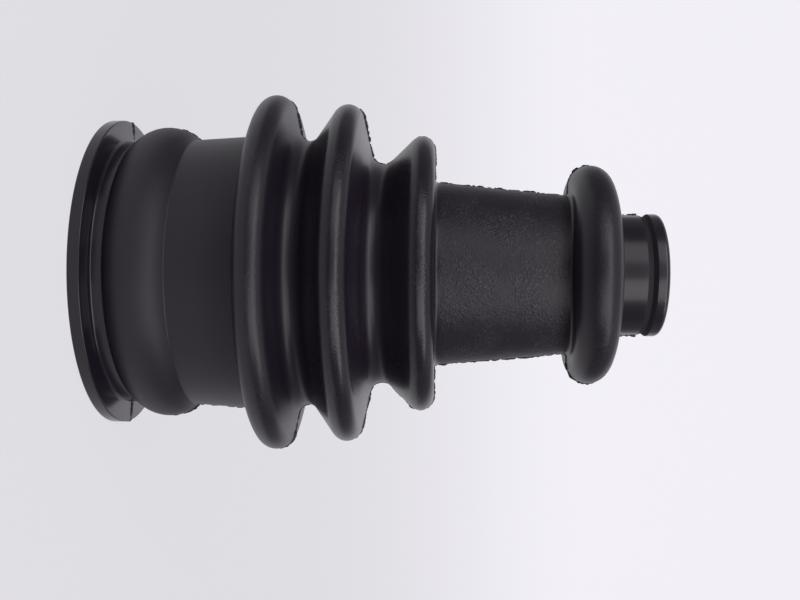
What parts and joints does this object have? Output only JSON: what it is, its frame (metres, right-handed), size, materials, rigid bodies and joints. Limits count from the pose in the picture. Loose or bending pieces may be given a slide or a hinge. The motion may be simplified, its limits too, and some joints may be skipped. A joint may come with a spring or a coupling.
{
  "type": "rubber bellows boot",
  "caption": "One-piece black rubber bellows boot with rounded folds, a tapering neck, a grooved flange at the big end and a clamp collar at the small end.",
  "frame": {"origin": "centre of the flange's underside, on the axis, where the boot stands", "axes": "+Z along the axis from the big end to the small end; X and Y are any two directions across it, as the boot is round, with the mould's parting plane in XZ"},
  "size_m": [0.0874, 0.0874, 0.1342],
  "materials": {
    "rubber": "moulded black rubber, matt on the folds and the neck, glossy on the flange, in its groove and on the collar"
  },
  "bodies": {
    "root": {"boot": "rubber"}
  },
  "joints": []
}
